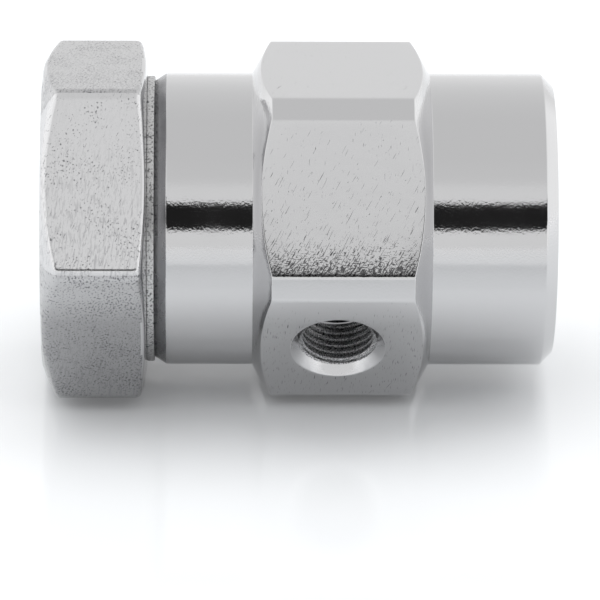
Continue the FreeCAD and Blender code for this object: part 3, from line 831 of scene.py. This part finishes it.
def build_joint_ring():
    """The rough washer between the nut and the body's shoulder."""
    outline = rounded([
        (0.0, RING_INSIDE),
        (0.0, RING_OUTSIDE, 0.2),
        (RING_THICKNESS, RING_OUTSIDE, 0.2),
        (RING_THICKNESS, RING_INSIDE),
    ][::-1], longest=0.3)
    piece = made_by(
        turned_bar, "joint_ring_pressed",
        outline_mesh("ring_outline", outline, SHOULDER + MOUTH_X - RING_THICKNESS), {
            "Steps": 576,
            "Surface Relief": 0.12 * MM,
            "Relief Grain": 1 / (0.7 * MM),
            "Turned Finish": joint_metal,
            "Milled Finish": joint_metal,
        })
    return finish_piece(piece, "fitting", "joint_metal", "joint_ring")


def build_thread(name, wall, crest, pitch, start, turns, pitch_share=1 / 6):
    """A thread ridge on a wall: it points inwards when its crest is nearer the axis than the wall is. Pitch
    share is the part of each pitch that stays bare wall between two turns."""
    height = crest - wall
    root = 0.03 if height < 0 else -0.03
    half_root = pitch * (1 - pitch_share) / 2
    half_crest = half_root - abs(height) * math.tan(math.radians(27.5))
    section = [
        (-half_root, root), (half_root, root), (half_root, 0.0),
        (half_crest + 0.05, height * 0.93), (half_crest - 0.05, height),
        (0.05 - half_crest, height), (-half_crest - 0.05, height * 0.93), (-half_root, 0.0),
    ]
    return made_by(thread_ridge, name, outline_mesh(f"{name}_section", section), {
        "Steps": int(turns * 72),
        "Wall Radius": wall * MM,
        "Pitch": pitch * MM,
        "Turns": turns,
        "Start": start * MM,
        "Finish": threaded_nickel,
    })


build_body()
build_nut()
build_joint_ring()

socket_thread = build_thread(
    "socket_thread_ridge", SOCKET_ROOT, SOCKET_CREST, SOCKET_PITCH,
    MOUTH_X - 7.5 * SOCKET_PITCH, turns=8.0)
cut(socket_thread, mouth_cutter(MOUTH_X + 3.0, SOCKET_MOUTH + 3.0, SOCKET_CREST - 0.2, inwards=-1))
finish_piece(socket_thread, "fitting", "plated_body")

port_start = -SIGHT_BORE - PORT_PLAIN - 0.2
port_turns = (FLAT + port_start) / PORT_PITCH
port_thread = build_thread(
    "port_thread_ridge", PORT_ROOT, PORT_CREST, PORT_PITCH, port_start - port_turns * PORT_PITCH, port_turns)
cut(port_thread, mouth_cutter(-FLAT - 2.0, PORT_MOUTH + 2.0, PORT_CREST - 0.2))
onto_port(port_thread)
finish_piece(port_thread, "fitting", "plated_body")

spigot_thread = build_thread(
    "spigot_thread_ridge", SPIGOT_ROOT, SPIGOT_CREST, SPIGOT_PITCH,
    TIP_X + 0.85, turns=4.9, pitch_share=1 / 4)
finish_piece(spigot_thread, "fitting", "plated_body")

nut_thread = build_thread(
    "nut_thread_ridge", NUT_ROOT, NUT_CREST, SPIGOT_PITCH,
    WINDOW_X + NUT_THREAD_START, turns=5.2, pitch_share=1 / 8)
finish_piece(nut_thread, "nut", "plated_nut")

for name, finish in (
    ("glass_disc", borosilicate_glass()),
    ("seat_gasket", fibre),
    ("cushion_gasket", fibre),
    ("slip_ring", rolled_strip()),
):
    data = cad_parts[name].data
    data.materials.clear()
    data.materials.append(finish)


# ---- studio --------------------------------------------------------------------------------------------
def lay_floor():
    """A wide pale sheet of acrylic, glossy enough to mirror what stands on it."""
    mesh = bpy.data.meshes.new("studio_floor")
    half = 4.0
    corners = [(-half, -half), (half, -half), (half, half), (-half, half)]
    mesh.from_pydata([(x, y, FLOOR_Z) for x, y in corners], [], [(0, 1, 2, 3)])
    floor = bpy.data.objects.new("studio_floor", mesh)
    bpy.context.scene.collection.objects.link(floor)
    material, _, shader, _ = new_material("pale_acrylic_sheet")
    shader.inputs["Base Color"].default_value = linear("#EEF0F2")
    shader.inputs["Roughness"].default_value = 0.1
    shader.inputs["IOR"].default_value = 1.45
    shader.inputs["Emission Color"].default_value = (1.0, 1.0, 1.0, 1.0)
    shader.inputs["Emission Strength"].default_value = 0.07
    mesh.materials.append(material)


def hang_softbox():
    """A broad light straight above and a little behind. The metal doesn't mirror it."""
    data = bpy.data.lights.new("overhead_softbox", "SUN")
    data.angle = math.radians(50)
    data.energy = 0.8
    lamp = bpy.data.objects.new("overhead_softbox", data)
    lamp.rotation_euler = (math.radians(-12), 0.0, 0.0)
    lamp.visible_glossy = False
    bpy.context.scene.collection.objects.link(lamp)


# Bands of the front wall: the gap, the lamp's lower part and a seam in it. Each has its lower and upper edge
# in degrees above the table, how soft its edges are, and how bright it is beside the rest of the wall.
FRONT_BANDS = ((13.6, 34.6, 0.8, 0.02), (34.6, 50.0, 4.0, 1.09), (56.5, 58.5, 0.5, 0.86))


def light_studio():
    """White walls all round, with a dark gap on the front side between the table and the lamp above it."""
    world = bpy.data.worlds.new("studio")
    bpy.context.scene.world = world
    world.use_nodes = True
    tree = world.node_tree
    tree.nodes.clear()
    direction = add(tree, "ShaderNodeTexCoord").outputs["Generated"]
    apart = add(tree, "ShaderNodeSeparateXYZ", {0: direction}).outputs
    strength = add(tree, "ShaderNodeMapRange",
                   {"Value": apart["Z"], "From Min": 0.3, "From Max": 0.95, "To Min": 1.06, "To Max": 0.9})
    front = add(tree, "ShaderNodeMapRange",
                {"Value": apart["Y"], "From Min": -0.5, "From Max": -0.7}, interpolation_type="SMOOTHSTEP")
    for low, high, soft, brightness in FRONT_BANDS:
        masks = []
        for height, side in ((low, soft), (high, -soft)):
            masks.append(add(tree, "ShaderNodeMapRange", {
                "Value": apart["Z"],
                "From Min": math.sin(math.radians(height - side)),
                "From Max": math.sin(math.radians(height + side)),
            }, interpolation_type="SMOOTHSTEP"))
        band = add(tree, "ShaderNodeMath", {0: masks[0], 1: masks[1]}, operation="MULTIPLY")
        band = add(tree, "ShaderNodeMath", {0: band, 1: front}, operation="MULTIPLY")
        change = add(tree, "ShaderNodeMapRange", {"Value": band, "To Min": 1.0, "To Max": brightness})
        strength = add(tree, "ShaderNodeMath", {0: strength, 1: change}, operation="MULTIPLY")
    # The two side walls stand nearer and look brighter, which lights up edges that turn to the sides.
    sideways = add(tree, "ShaderNodeMath", {0: apart["X"]}, operation="ABSOLUTE")
    sides = add(tree, "ShaderNodeMapRange",
                {"Value": sideways, "From Min": 0.45, "From Max": 0.7, "To Min": 1.0, "To Max": 1.3},
                interpolation_type="SMOOTHSTEP")
    strength = add(tree, "ShaderNodeMath", {0: strength, 1: sides}, operation="MULTIPLY")
    light = add(tree, "ShaderNodeBackground", {"Strength": strength, "Color": (1.0, 1.0, 1.0, 1.0)})
    add(tree, "ShaderNodeOutputWorld", {"Surface": light})


# The camera: how steeply it looks down, its distance in metres, how far it leans off level, and in mm how far
# its foot and its aim lie inwards of the window face, how far below the sight axis it aims, and its lens.
VIEW_ANGLE = math.radians(22.8)
VIEW_DISTANCE = 0.977
LEAN = 0.002
VIEW_FOOT = 28.67
VIEW_AIM = 44.07
AIM_DROP = 13.98
LENS = 341.2


def place_camera():
    """A long lens that looks down at the port side, with the sight axis all but level in its view."""
    up = Vector((0.0, math.sin(VIEW_ANGLE), math.cos(VIEW_ANGLE)))
    back = Vector((0.0, -math.cos(VIEW_ANGLE), math.sin(VIEW_ANGLE)))
    foot = Vector(((WINDOW_X + VIEW_FOOT) * MM, 0.0, 0.0))
    target = Vector(((WINDOW_X + VIEW_AIM) * MM, 0.0, 0.0)) - up * AIM_DROP * MM
    data = bpy.data.cameras.new("camera")
    data.sensor_width = 36.0
    data.lens = LENS
    data.clip_end = 20.0
    camera = bpy.data.objects.new("camera", data)
    camera.location = foot + back * VIEW_DISTANCE
    away = (camera.location - target).normalized()
    right = Vector((1.0, 0.0, 0.0)) + up * LEAN
    right = (right - away * right.dot(away)).normalized()
    camera.rotation_euler = Matrix((right, away.cross(right), away)).transposed().to_euler()
    bpy.context.scene.collection.objects.link(camera)
    bpy.context.scene.camera = camera


lay_floor()
hang_softbox()
light_studio()
place_camera()
bpy.context.scene.view_settings.view_transform = "Standard"
